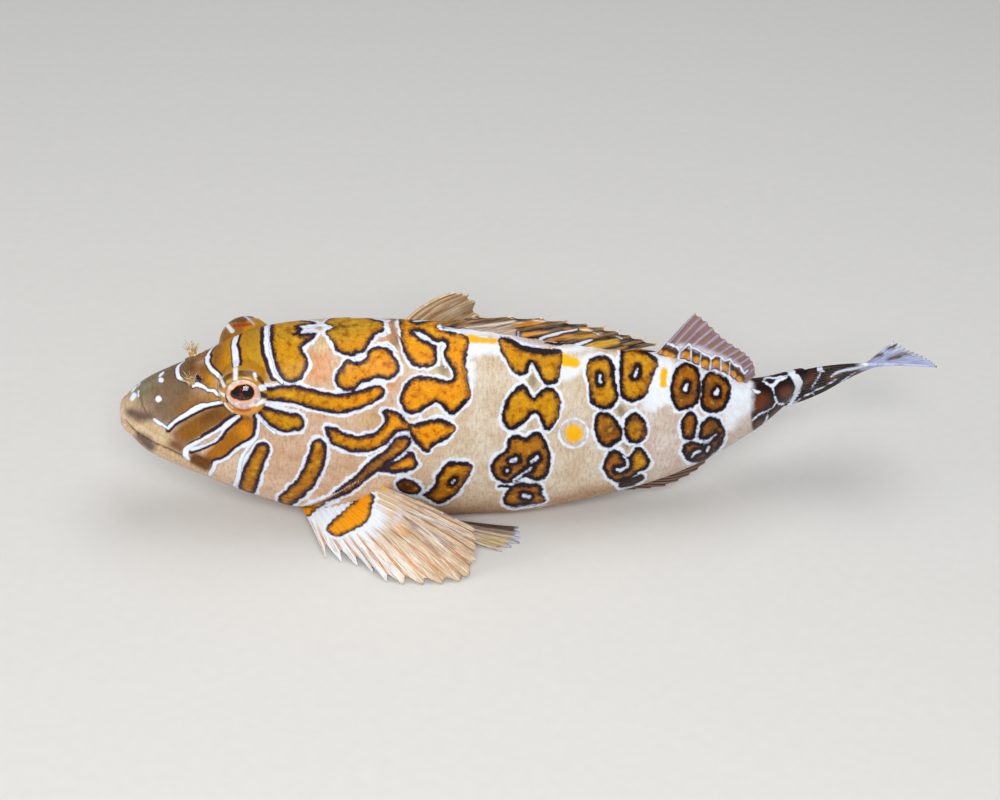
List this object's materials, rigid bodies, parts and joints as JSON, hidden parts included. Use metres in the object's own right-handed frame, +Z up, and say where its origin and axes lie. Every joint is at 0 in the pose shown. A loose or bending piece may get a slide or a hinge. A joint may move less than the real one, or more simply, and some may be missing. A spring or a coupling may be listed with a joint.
{
  "type": "giant hawkfish model",
  "caption": "Life-size still model of a giant hawkfish at rest on its belly and spread pectoral fins, with folded spiny dorsal fin, raised soft dorsal fin and curled tail.",
  "frame": {"origin": "on the floor, under the middle of the model's box", "axes": "+Z up, +X from the snout towards the tail, -Y towards the fish's left side"},
  "size_m": [0.395, 0.1412, 0.1122],
  "materials": {
    "patterned_skin": "wet fish skin, gold blotches edged dark and white on tan",
    "eye": "clear glossy eye with silvery pink iris and dark pupil",
    "dorsal_fin": "satin fin membrane over rays",
    "anal_fin": "satin fin membrane over rays",
    "caudal_fin": "satin fin membrane, brown with pale blue-white rays",
    "pectoral_fin": "satin fin membrane, cream with tan streaks",
    "pelvic_fin": "satin fin membrane, cream with bluish edge"
  },
  "bodies": {
    "root": {"head": "patterned_skin", "torso": "patterned_skin", "tail": "patterned_skin", "eye_left": "eye", "eye_right": "eye", "dorsal_fin_spiny": "dorsal_fin", "dorsal_fin_soft": "dorsal_fin", "anal_fin": "anal_fin", "caudal_fin": "caudal_fin", "pectoral_fin_left": "pectoral_fin", "pectoral_fin_right": "pectoral_fin", "pelvic_fin_left": "pelvic_fin", "pelvic_fin_right": "pelvic_fin"}
  },
  "joints": []
}
